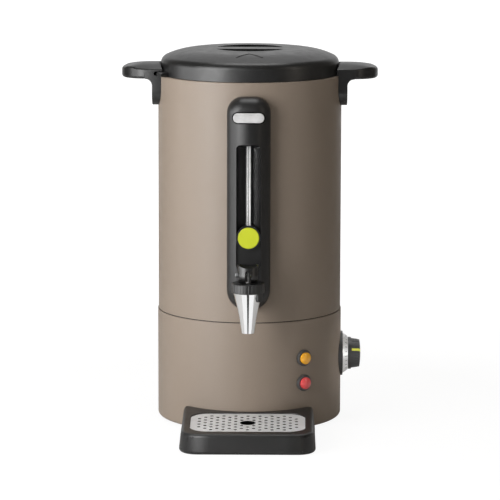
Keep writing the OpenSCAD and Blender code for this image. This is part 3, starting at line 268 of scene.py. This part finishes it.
finish = {
    "taupe_paint": powderCoat(),
    "black_plastic": plastic("blackMoulding", *blackTones, (0.31, 0.39), spec=0.6),
    "tap_plastic": plastic("tapMoulding", *tapTones, (0.26, 0.34), spec=0.8),
    "black_rubber": plastic("blackRubber", (0.016, 0.016, 0.016), (0.024, 0.024, 0.024), (0.65, 0.8)),
    "clear_silicone": plastic("paleSilicone", (0.6, 0.6, 0.57), (0.66, 0.66, 0.63), (0.5, 0.6)),
    "white_plastic": plastic("switchWhite", (0.68, 0.67, 0.6), (0.74, 0.73, 0.66), (0.4, 0.5)),
    "lead_sleeve": plastic("leadSleeve", (0.5, 0.49, 0.44), (0.62, 0.61, 0.56), (0.5, 0.6)),
    "lime": plastic("limePrint", (0.56, 0.62, 0.026), (0.62, 0.68, 0.032), (0.3, 0.38)),
    "steel": metal("brushedSteel", (0.84, 0.84, 0.84), (0.34, 0.46), brushed=(12, 500, 12), metallic=0.55),
    "zinc": metal("zincPlate", (0.55, 0.56, 0.57), (0.28, 0.4)),
    "chrome": metal("chromePlate", (0.95, 0.95, 0.955), (0.02, 0.05)),
    "satin_silver": metal("satinSilver", (0.86, 0.86, 0.87), (0.34, 0.40), brushed=(260, 12, 12)),
    "element_sheath": metal("elementSheath", (0.28, 0.26, 0.24), (0.4, 0.6)),
    "aluminium": metal("rolledAluminium", (0.66, 0.66, 0.68), (0.3, 0.45), brushed=(14, 600, 14)),
    "copper": metal("bareCopper", (0.62, 0.33, 0.19), (0.25, 0.4)),
    "gauge_glass": tubeGlass(),
    "amber_lens": lensMaterial("amberLens", (0.92, 0.43, 0.025), (1.0, 0.48, 0.05)),
    "red_lens": lensMaterial("redLens", (0.74, 0.08, 0.085), (1.0, 0.12, 0.12)),
}
handleBlack = bowedPlastic("handleMoulding", *blackTones, (0.31, 0.39), spec=0.6, start=0.105, bow=4.8)
trayBlack = bowedPlastic("trayMoulding", (0.0100, 0.0100, 0.0103), (0.0130, 0.0130, 0.0133), (0.38, 0.44),
                         spec=0.7, start=0.043, bow=14, below=0.023)
dishBlack = plastic("dishMoulding", *blackTones, (0.75, 0.85), spec=0.1)
leverBlack = plastic("leverMoulding", *tapTones, (0.28, 0.34), spec=0.7)
# painted highlight: a light grey that stands in for the highlight along the lever's rear rim
leverHighlightGrey = plastic("leverPaintedHighlight", (0.09, 0.09, 0.09), (0.12, 0.12, 0.12), (0.3, 0.4), spec=0.8)
knobBlack = plastic("knobMoulding", (0.052, 0.052, 0.053), (0.064, 0.064, 0.065), (0.32, 0.40), spec=0.8)
pointerLime = plastic("pointerLime", (0.88, 0.90, 0.12), (0.93, 0.94, 0.14), (0.3, 0.38))
# painted shade: near black for the walls of the grate's holes, standing in for the shade inside them
holeShade = plastic("paintedHoleShade", (0.005, 0.005, 0.005), (0.008, 0.008, 0.008), (0.6, 0.7), spec=0.1)
enamel = plastic("gaugeEnamel", (0.94, 0.94, 0.935), (0.96, 0.96, 0.955), (0.25, 0.35), depth=0.000004)
greyLine = plastic("gaugeLinePaint", (0.30, 0.30, 0.30), (0.36, 0.36, 0.36), (0.4, 0.5))
ink = plastic("dialInk", (0.16, 0.16, 0.16), (0.20, 0.20, 0.20), (0.45, 0.55))
grateSteel = metal("grateSteel", (0.925, 0.94, 0.96), (0.36, 0.46), brushed=(12, 500, 12), metallic=0.2,
                   deep=0.78)
dialSilver = metal("dialSilver", (0.93, 0.93, 0.935), (0.36, 0.46), metallic=0.35)
badgeSilver = metal("badgeSilver", (0.97, 0.97, 0.975), (0.26, 0.34), brushed=(12, 12, 700), metallic=0.3,
                    deep=0.42, cloud=75)
ownFinish = {
    "column": columnCoat(), "knob": knobBlack, "knob_pointer": pointerLime, "lamp_amber": knobBlack,
    "lamp_red": knobBlack,
}

for name, piece in nodes.items():
    piece.data.materials.clear()
    piece.data.materials.append(ownFinish.get(name, finish[slotOf[name]]))
print("materials:", len(finish))


def makePiece(name, form, mat, body):
    mesh = bpy.data.meshes.new(name)
    for face in form.faces:
        face.smooth = True
    form.to_mesh(mesh)
    form.free()
    mesh.materials.append(mat)
    piece = bpy.data.objects.new(name, mesh)
    bpy.context.scene.collection.objects.link(piece)
    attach(piece, body)
    return piece


def bodyOf(name):
    return next(body for body, members in bodies.items() if name in members)


def anywhere(place):
    return True


softCopy = {"weld": 2e-6, "flat": math.radians(1.2), "crisp": math.radians(32), "crease": math.radians(38),
            "weight": 100}
softCopies = []


# A merged copy of a CAD node with its crisp edges rounded; each of rims is (test of an edge's middle, width)
def softened(name, rims, mat=None, segments=3, clamp=True, shape=None):
    form = bmesh.new()
    form.from_mesh(nodes[name].data)
    bmesh.ops.remove_doubles(form, verts=form.verts, dist=softCopy["weld"])
    bmesh.ops.dissolve_limit(form, angle_limit=softCopy["flat"], verts=form.verts, edges=form.edges)
    if shape:
        shape(form)
    for test, width in rims:
        crisp = [edge for edge in form.edges if edge.calc_face_angle(0) >= softCopy["crisp"]]
        chosen = [edge for edge in crisp if test((edge.verts[0].co + edge.verts[1].co) / 2)]
        bmesh.ops.bevel(form, geom=chosen, offset=width, offset_type="OFFSET", segments=segments, profile=0.5,
                        affect="EDGES", clamp_overlap=clamp, material=-1)
    for edge in form.edges:
        edge.smooth = edge.calc_face_angle(math.pi) < softCopy["crease"]
    piece = makePiece(name + "Soft", form, mat or finish[slotOf[name]], bodyOf(name))
    normals = piece.modifiers.new("normals", "WEIGHTED_NORMAL")
    normals.keep_sharp = True
    normals.weight = softCopy["weight"]
    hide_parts(name)
    softCopies.append(piece)
    return piece


# Gives the faces that pass the test a further finish
def repaint(piece, mat, test):
    piece.data.materials.append(mat)
    chosen = [face for face in piece.data.polygons if test(face)]
    for face in chosen:
        face.material_index = len(piece.data.materials) - 1
    return chosen


def cutAcross(form, axis, places, test=anywhere):
    across = [0, 0, 0]
    across[axis] = 1
    for place in places:
        faces = [face for face in form.faces if test(face.calc_center_median())]
        parts = list({part for face in faces for part in [*face.verts, *face.edges]})
        bmesh.ops.bisect_plane(form, geom=faces + parts, dist=1e-6, plane_co=Vector(across) * place,
                               plane_no=across)


def softTrim():
    edges = {
        "badge_plate": (0.0006, badgeSilver), "lime_disc": (0.0011, None), "dial_ring": (0.0010, knobBlack),
        "dial": (0.0005, dialSilver), "lid": (0.0007, None), "tap_pin": (0.0013, finish["zinc"]),
    }
    return {name: softened(name, [(anywhere, width)], mat) for name, (width, mat) in edges.items()}


# The finger wells of the lid are dark and matt
def darkWells(lid):
    well = {"reach": 0.0425, "floor": 0.012, "below": 0.0012}
    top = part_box("lid")[1][2]

    def inWell(face):
        inside = math.hypot(face.center.x, face.center.y) < well["reach"]
        return inside and top - well["floor"] < face.center.z < top - well["below"]

    repaint(lid, dishBlack, inWell)


# The collar's flutes are partly filled, and their edges are round
def softCollar():
    flute = {"deepest": 0.0164, "side": 0.019, "chamfer": 0.001, "share": 0.12, "edge": 0.0004}
    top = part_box("tap_bonnet")[1][2]
    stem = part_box("tap_stem")
    centre = (stem[0][1] + stem[1][1]) / 2

    def shallow(form):
        for vert in form.verts:
            side = flute["side"] - max(vert.co.z - top + flute["chamfer"], 0)
            reach = math.hypot(vert.co.x, vert.co.y - centre)
            if flute["deepest"] < reach < side:
                grown = (side - flute["share"] * (side - reach)) / reach
                vert.co.x *= grown
                vert.co.y = centre + (vert.co.y - centre) * grown

    softened("tap_bonnet", [(anywhere, flute["edge"])], segments=2, shape=shallow)


# The handle's crown and its fall to the tip run into each other without a crease
def softHandles():
    crown = {"top": 0.4328, "across": 0.07636, "along": 0.10958, "start": 0.1152, "blend": 0.0024,
             "step": 0.003, "cuts": 13, "rows": 10}
    grip = {"lid": 0.1092, "crown": 0.4245, "fillet": 0.1255, "under": (0.4130, 0.4155), "leg": 0.4140,
            "tank": 0.1115, "topRim": 0.0017, "lowerRim": 0.0036, "legRim": 0.0010}

    def onTop(place):
        return place.z > grip["crown"]

    def upperRim(place):
        return math.hypot(place.x, place.y) > grip["lid"] and onTop(place)

    def lowerRim(place):
        return abs(place.x) > grip["fillet"] and grip["under"][0] < place.z < grip["under"][1]

    def legRim(place):
        return place.z < grip["leg"] and math.hypot(place.x, place.y) > grip["tank"]

    def bullet(form):
        for side in (-1, 1):
            cuts = [side * (crown["start"] + crown["step"] * i) for i in range(crown["cuts"])]
            cutAcross(form, 0, cuts, onTop)
        rows = [crown["step"] * i for i in range(-crown["rows"], crown["rows"] + 1)]
        cutAcross(form, 1, rows, onTop)
        for vert in form.verts:
            if not onTop(vert.co):
                continue
            out = max(abs(vert.co.x) - crown["start"], 0)
            across = crown["top"] - crown["across"] + math.sqrt(crown["across"] ** 2 - vert.co.y ** 2)
            along = crown["top"] - crown["along"] + math.sqrt(crown["along"] ** 2 - out ** 2)
            near = max(1 - abs(across - along) / crown["blend"], 0)
            vert.co.z = min(across, along) - crown["blend"] * near * near / 4  # a smooth minimum of the two

    rims = [(upperRim, grip["topRim"]), (lowerRim, grip["lowerRim"]), (legRim, grip["legRim"])]
    for name in ("handle_left", "handle_right"):
        softened(name, rims, handleBlack, segments=5, clamp=False, shape=bullet)


# The lever's front is round in plan, its finger dish is matt and its rear rim is painted light grey as a
# painted highlight
def softLever():
    front = {"radius": 0.0125, "from": -0.163, "depth": 0.006, "step": 0.0018, "cuts": 6, "edge": 0.0007}
    rear = {"from": 0.0026, "to": 0.0014, "below": 0.0012, "edge": 0.0011, "grey": 0.0036, "slope": 0.2}
    dish = {"below": 0.0004, "level": 0.5, "lean": 0.2}
    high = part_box("tap_lever")[1]

    def rounded(form):
        cutAcross(form, 0, [front["step"] * i for i in range(-front["cuts"], front["cuts"] + 1)])
        for vert in form.verts:
            share = min(max((front["from"] - vert.co.y) / front["depth"], 0), 1)
            vert.co.y += share * (front["radius"] - math.sqrt(front["radius"] ** 2 - vert.co.x ** 2))

    def rearRim(place):
        return high[1] - rear["from"] < place.y < high[1] - rear["to"] and place.z > high[2] - rear["below"]

    def otherRims(place):
        return not rearRim(place)

    def inDish(face):
        level = face.normal.z > dish["level"] and abs(face.normal.y) < dish["lean"]
        return level and face.center.z < high[2] - dish["below"]

    def onRearSlope(face):
        return face.normal.z > rear["slope"] and face.center.y > high[1] - rear["grey"] and not inDish(face)

    rims = [(rearRim, rear["edge"]), (otherRims, front["edge"])]
    lever = softened("tap_lever", rims, leverBlack, segments=4, shape=rounded)
    repaint(lever, dishBlack, inDish)
    # painted highlight: the rear top faces of the lever get the light grey
    repaint(lever, leverHighlightGrey, onRearSlope)


def softTray():
    rim = {"side": 0.0712, "front": -0.2085, "rear": -0.105, "above": 0.02, "under": 0.001, "inset": 0.001,
           "outer": 0.0042, "inner": 0.0006, "foot": 0.0045}

    def onOutline(place):
        return abs(place.x) > rim["side"] or place.y < rim["front"]

    def outerRim(place):
        return place.z > rim["above"] and onOutline(place)

    def innerRim(place):
        inside = abs(place.x) < rim["side"] - rim["inset"] and place.y > rim["front"] + rim["inset"]
        return place.z > rim["above"] and inside

    def footRim(place):
        return place.z < rim["under"] and place.y < rim["rear"] and onOutline(place)

    rims = [(outerRim, rim["outer"]), (innerRim, rim["inner"]), (footRim, rim["foot"])]
    softened("drip_tray", rims, trayBlack, segments=5, clamp=False)


# The grate's holes are wider, and their punched walls are painted near black as painted shade
def punchedGrate():
    punch = {"wider": 0.00045, "field": (0.0655, 0.0405), "middle": -0.160, "upright": 0.3}

    def inField(place):
        return abs(place.x) <= punch["field"][0] and abs(place.y - punch["middle"]) <= punch["field"][1]

    def isWall(face):
        return abs(face.normal.z) < punch["upright"]

    def wider(form):
        for vert in form.verts:
            wall = sum((face.normal for face in vert.link_faces if isWall(face)), Vector())
            if inField(vert.co) and wall.length > 0:
                vert.co -= wall.normalized() * punch["wider"]

    def isPunched(face):
        return isWall(face) and inField(face.center)

    grate = softened("drip_grate", [], grateSteel, shape=wider)
    # painted shade: the walls of the holes get the near black, and flat shading
    for face in repaint(grate, holeShade, isPunched):
        face.use_smooth = False


trim = softTrim()
darkWells(trim["lid"])
softCollar()
softHandles()
softLever()
softTray()
punchedGrate()
print("soft copies:", len(softCopies))


def bar(form, size, place):
    made = bmesh.ops.create_cube(form, size=1)["verts"]
    bmesh.ops.scale(form, vec=size, verts=made)
    bmesh.ops.transform(form, matrix=place, verts=made)


# A half-round stripe against the rear of the sight glass's bore, with a thin line down its middle
def gaugeBack():
    stripe = {"y": -0.122, "low": 0.181, "high": 0.3515, "outer": 0.00234, "inner": 0.0019, "steps": 24}
    line = {"wide": 0.0009, "deep": 0.0003, "shorter": 0.001, "sunk": 0.0002}
    tall = stripe["high"] - stripe["low"]
    form = bmesh.new()
    radii = (stripe["outer"], stripe["inner"])
    ends = [form.verts.new((radius, stripe["y"], stripe["low"])) for radius in radii]
    edge = form.edges.new(ends)
    bmesh.ops.spin(form, geom=[edge] + ends, cent=(0, stripe["y"], 0), axis=(0, 0, 1), angle=math.pi,
                   steps=stripe["steps"], use_merge=False)
    grown = bmesh.ops.extrude_face_region(form, geom=form.faces[:])["geom"]
    rise = [part for part in grown if isinstance(part, bmesh.types.BMVert)]
    bmesh.ops.translate(form, vec=(0, 0, tall), verts=rise)
    bmesh.ops.recalc_face_normals(form, faces=form.faces[:])
    makePiece("gaugeStripe", form, enamel, "urn")
    form = bmesh.new()
    middle = (0, stripe["y"] + stripe["inner"] - line["sunk"], (stripe["low"] + stripe["high"]) / 2)
    bar(form, (line["wide"], line["deep"], tall - line["shorter"]), Matrix.Translation(middle))
    makePiece("gaugeLine", form, greyLine, "urn")


knobAxis = {"z": 0.0772, "pointer": math.radians(24)}


# A place at a radius from the knob's axis, turned round it from the pointer and leant outwards
def roundKnob(x, turn, radius, lean):
    return (Matrix.Translation((x, 0, knobAxis["z"])) @ Matrix.Rotation(turn - knobAxis["pointer"], 4, "X")
            @ Matrix.Translation((0, -radius, 0)) @ Matrix.Rotation(lean, 4, "Z"))


def knobRibs():
    ribs = {"count": 30, "foot": 0.12295, "long": 0.0086, "wide": 0.0012, "proud": 0.0008, "radius": 0.0172,
            "lean": 0.143, "edge": 0.00022}
    form = bmesh.new()
    for i in range(ribs["count"]):
        turn = math.tau * (i + 0.5) / ribs["count"]
        place = roundKnob(ribs["foot"] + ribs["long"] / 2, turn, ribs["radius"], ribs["lean"])
        bar(form, (ribs["long"], ribs["proud"], ribs["wide"]), place)
    bmesh.ops.bevel(form, geom=form.edges[:], offset=ribs["edge"], offset_type="OFFSET", segments=2,
                    profile=0.5, affect="EDGES", clamp_overlap=True, material=-1)
    makePiece("knobRibs", form, knobBlack, "knob")


def dialMarks():
    marks = {"count": 19, "from": math.radians(-69), "to": math.radians(201), "x": 0.1175, "radius": 0.0216,
             "long": 0.0022, "wide": 0.0006, "proud": 0.00022, "lean": 0.643, "every": 3, "longer": 1.5}
    form = bmesh.new()
    for i in range(marks["count"]):
        turn = marks["from"] + (marks["to"] - marks["from"]) * i / (marks["count"] - 1)
        stretch = marks["longer"] if i % marks["every"] == 0 else 1
        place = roundKnob(marks["x"], -turn, marks["radius"], marks["lean"])
        bar(form, (marks["long"] * stretch, marks["proud"], marks["wide"]), place)
    makePiece("dialMarks", form, ink, "urn")


gaugeBack()
knobRibs()
dialMarks()
print("trim pieces")


def plane(name, corners):
    form = bmesh.new()
    form.faces.new([form.verts.new(corner) for corner in corners])
    mesh = bpy.data.meshes.new(name)
    form.to_mesh(mesh)
    form.free()
    sheet = bpy.data.objects.new(name, mesh)
    bpy.context.scene.collection.objects.link(sheet)
    return sheet


# To the camera mostly a white glow, stronger away from the urn; matt to every other ray
def paleFloor():
    setup = {"size": 9.0, "glow": 0.84, "white": (1.10, 1.35), "reach": (0.35, 1.4), "albedo": 0.72}
    size = setup["size"]
    floor = plane("floor", [(-size, -size, 0), (size, -size, 0), (size, size, 0), (-size, size, 0)])
    mat, tree, surface = emptyMaterial("paleFloor")
    matt = tree.nodes.new("ShaderNodeBsdfDiffuse")
    matt.inputs["Color"].default_value = (setup["albedo"], setup["albedo"], setup["albedo"], 1)
    glow = tree.nodes.new("ShaderNodeEmission")
    coords = tree.nodes.new("ShaderNodeTexCoord")
    away = tree.nodes.new("ShaderNodeVectorMath")
    away.operation = "LENGTH"
    tree.links.new(coords.outputs["Object"], away.inputs[0])
    near, far = setup["reach"]
    white = spread(tree, away.outputs["Value"], *setup["white"], fromLow=near, fromHigh=far)
    tree.links.new(white, glow.inputs["Strength"])
    path = tree.nodes.new("ShaderNodeLightPath")
    share = calc(tree, "MULTIPLY", path.outputs["Is Camera Ray"], setup["glow"])
    mixShaders(tree, share, matt, glow, surface)
    floor.data.materials.append(mat)


# A card that only reflections see; a faint glow makes a dark reflection
def card(name, corners, glow):
    sheet = plane(name, corners)
    mat, tree, surface = emptyMaterial(name)
    light = tree.nodes.new("ShaderNodeEmission")
    light.inputs["Strength"].default_value = glow
    clear = tree.nodes.new("ShaderNodeBsdfTransparent")
    path = tree.nodes.new("ShaderNodeLightPath")
    mixShaders(tree, path.outputs["Is Glossy Ray"], clear, light, surface)
    sheet.data.materials.append(mat)


def uprightCard(name, start, end, low, high, glow):
    card(name, [(*start, low), (*end, low), (*end, high), (*start, high)], glow)


def flatCard(name, start, end, glow, height=0.002):
    corners = [start, (end[0], start[1]), end, (start[0], end[1])]
    card(name, [(*corner, height) for corner in corners], glow)


def studioWorld():
    room = {"color": (1.0, 0.94, 0.84, 1), "strength": 0.14}
    world = bpy.data.worlds.new("studio")
    bpy.context.scene.world = world
    world.use_nodes = True
    tree = world.node_tree
    tree.nodes.clear()
    surface = tree.nodes.new("ShaderNodeOutputWorld").inputs["Surface"]
    seen = tree.nodes.new("ShaderNodeBackground")
    seen.inputs["Color"].default_value = (1, 1, 1, 1)
    ambient = tree.nodes.new("ShaderNodeBackground")
    ambient.inputs["Color"].default_value = room["color"]
    ambient.inputs["Strength"].default_value = room["strength"]
    path = tree.nodes.new("ShaderNodeLightPath")
    mixShaders(tree, path.outputs["Is Camera Ray"], ambient, seen, surface)


def hang(lamp, place, target):
    holder = bpy.data.objects.new(lamp.name, lamp)
    holder.location = place
    holder.rotation_euler = (Vector(target) - Vector(place)).to_track_quat("-Z", "Y").to_euler()
    bpy.context.scene.collection.objects.link(holder)


def softbox(name, place, target, size, power, color=(1, 1, 1)):
    lamp = bpy.data.lights.new(name, "AREA")
    lamp.color = color
    lamp.shape = "RECTANGLE"
    lamp.size, lamp.size_y = size
    lamp.energy = power
    hang(lamp, place, target)


def spot(name, place, target, angle, power, blend=0.5, radius=0.05):
    lamp = bpy.data.lights.new(name, "SPOT")
    lamp.energy = power
    lamp.spot_size = angle
    lamp.spot_blend = blend
    lamp.shadow_soft_size = radius
    hang(lamp, place, target)


def studioCamera():
    view = {"lens": 212.98, "sensor": 36, "distance": 3.5354, "height": 0.7842, "pitch": 0.1628,
            "roll": 0.0021, "turn": 0.0105, "aside": 0.0005, "far": 30}
    lens = bpy.data.cameras.new("camera")
    lens.lens = view["lens"]
    lens.sensor_width = view["sensor"]
    lens.clip_end = view["far"]
    camera = bpy.data.objects.new("camera", lens)
    place = Vector((view["aside"], -view["distance"], view["height"]))
    turn = Matrix.Rotation(view["turn"], 4, "Z")
    look = Matrix.Rotation(math.pi / 2 - view["pitch"], 4, "X") @ Matrix.Rotation(view["roll"], 4, "Z")
    camera.matrix_world = turn @ Matrix.Translation(place) @ look
    bpy.context.scene.collection.objects.link(camera)
    bpy.context.scene.camera = camera


paleFloor()
studioWorld()
softbox("leftBox", (-0.92, -0.90, 0.53), (0, 0, 0.25), size=(0.95, 1.04), power=20)
softbox("topBox", (0, 0.12, 1.7), (0, 0, 0.3), size=(1.0, 0.7), power=8)
softbox("rightBox", (1.5, -0.9, 0.8), (0, 0, 0.25), size=(0.5, 1.4), power=2.6, color=(1.0, 0.91, 0.80))
spot("knobSpot", (0.9, -0.42, 0.16), (0.128, 0, 0.077), angle=0.085, power=30)
uprightCard("backCard", (-1.2, 1.6), (1.2, 1.6), low=0, high=3, glow=0.76)
uprightCard("sideCard", (-1.25, -0.58), (-1.25, 0.22), low=0, high=0.7, glow=3.0)
uprightCard("cornerCard", (-0.65, -1.13), (-0.23, -1.28), low=0, high=1.3, glow=0.9)
uprightCard("highCard", (-0.7, 1.58), (0.7, 1.58), low=2.2, high=3, glow=1.3)
uprightCard("lowCard", (-0.72, -0.20), (-0.40, -0.63), low=0, high=0.12, glow=3.0)
uprightCard("frontCard", (-1.6, -3.0), (1.6, -3.0), low=0.1, high=1.6, glow=0.32)
uprightCard("blackCard", (-0.036, -0.36), (0.036, -0.36), low=0.01, high=0.3, glow=0.05)
flatCard("farTable", (-1.2, -2.6), (1.2, -0.8), glow=0.35)
for side in (-1, 1):
    flatCard("tableCard", (side * 0.03, -0.8), (side * 0.6, -0.3), glow=1.0)
studioCamera()
bpy.context.scene.view_settings.view_transform = "Standard"
print("floor, light and camera")
